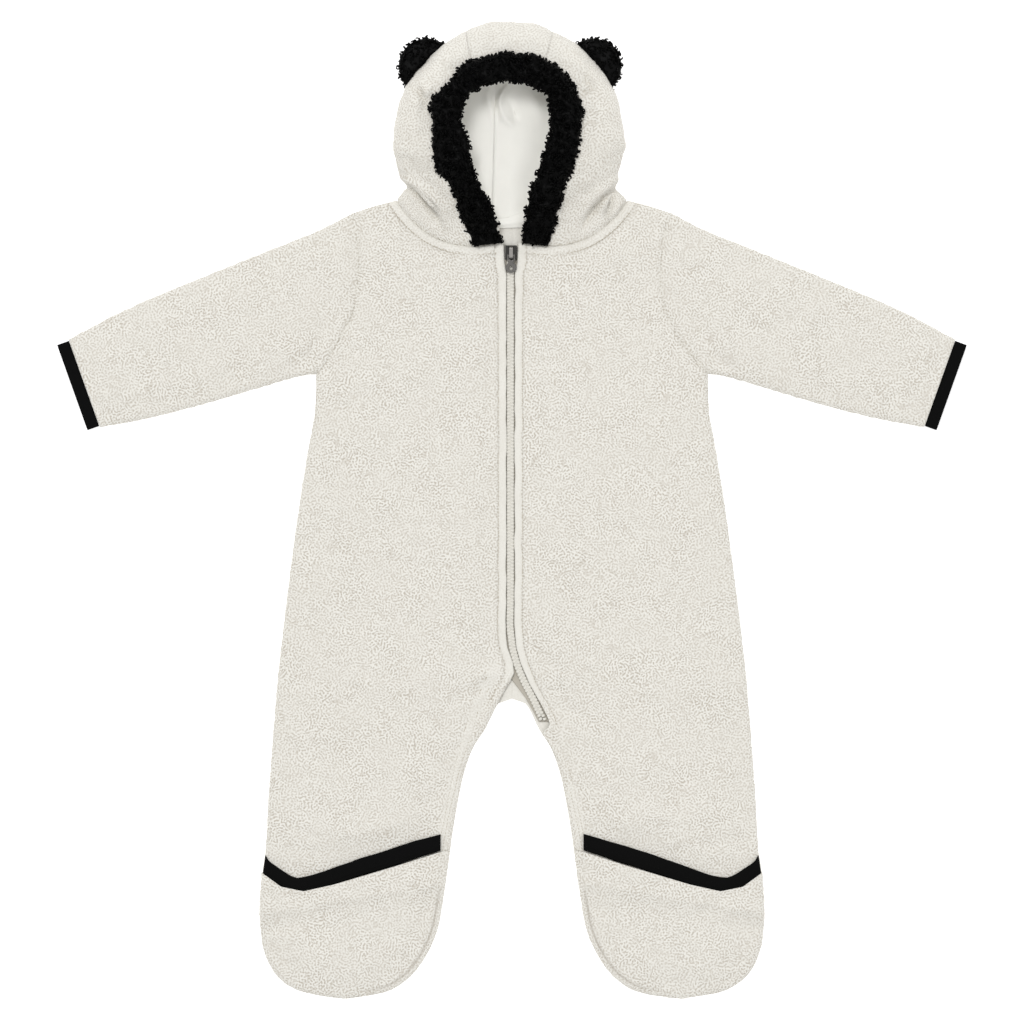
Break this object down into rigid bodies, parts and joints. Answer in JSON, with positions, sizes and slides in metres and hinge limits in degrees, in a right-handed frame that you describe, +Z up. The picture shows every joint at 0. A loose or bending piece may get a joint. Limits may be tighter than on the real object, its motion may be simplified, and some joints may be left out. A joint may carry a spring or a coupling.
{
  "type": "hooded pramsuit",
  "caption": "Baby's hooded pile-fleece pramsuit with round ears, curly hood trim, long sleeves, fold-over foot flaps and a zip into the left leg, laid flat.",
  "frame": {"origin": "middle of the suit's outline, on the surface it lies on", "axes": "+Y towards the hood, +X towards the wearer's left, +Z up out of the suit's front"},
  "size_m": [0.7552, 0.8106, 0.0536],
  "materials": {
    "fleece": "curly pile fleece, cream",
    "knit_binding": "matt ribbed knit, black",
    "lining": "smooth knit, off-white",
    "curly_pile": "tight curly pile, black",
    "zip_coil": "moulded coil and woven tape, cream",
    "zip_metal": "dark plated"
  },
  "bodies": {
    "suit": {"back_left": "fleece", "back_right": "fleece", "front_left": "fleece", "front_right": "fleece", "sleeve_left": "fleece", "sleeve_right": "fleece", "foot_flap_left": "fleece", "foot_flap_right": "fleece", "hood_centre": "fleece", "hood_left": "fleece", "hood_right": "fleece", "cuff_left": "knit_binding", "cuff_right": "knit_binding", "flap_binding_left": "knit_binding", "flap_binding_right": "knit_binding", "hood_lining_left": "lining", "hood_lining_right": "lining", "neck_tape": "lining", "hood_trim": "curly_pile", "ear_left_front": "curly_pile", "ear_left_back": "curly_pile", "ear_right_front": "curly_pile", "ear_right_back": "curly_pile", "zip_tape_left": "zip_coil", "zip_tape_right": "zip_coil", "zip_chain": "zip_coil", "zip_slider": "zip_metal"},
    "pull": {"zip_pull": "zip_metal"}
  },
  "joints": [
    {"name": "pull_swing", "type": "hinge", "parent": "suit", "child": "pull", "pos_m": [-0.0008, 0.21135, 0.01155], "axis": [-1, 0, 0], "range_deg": [0, 120]}
  ]
}
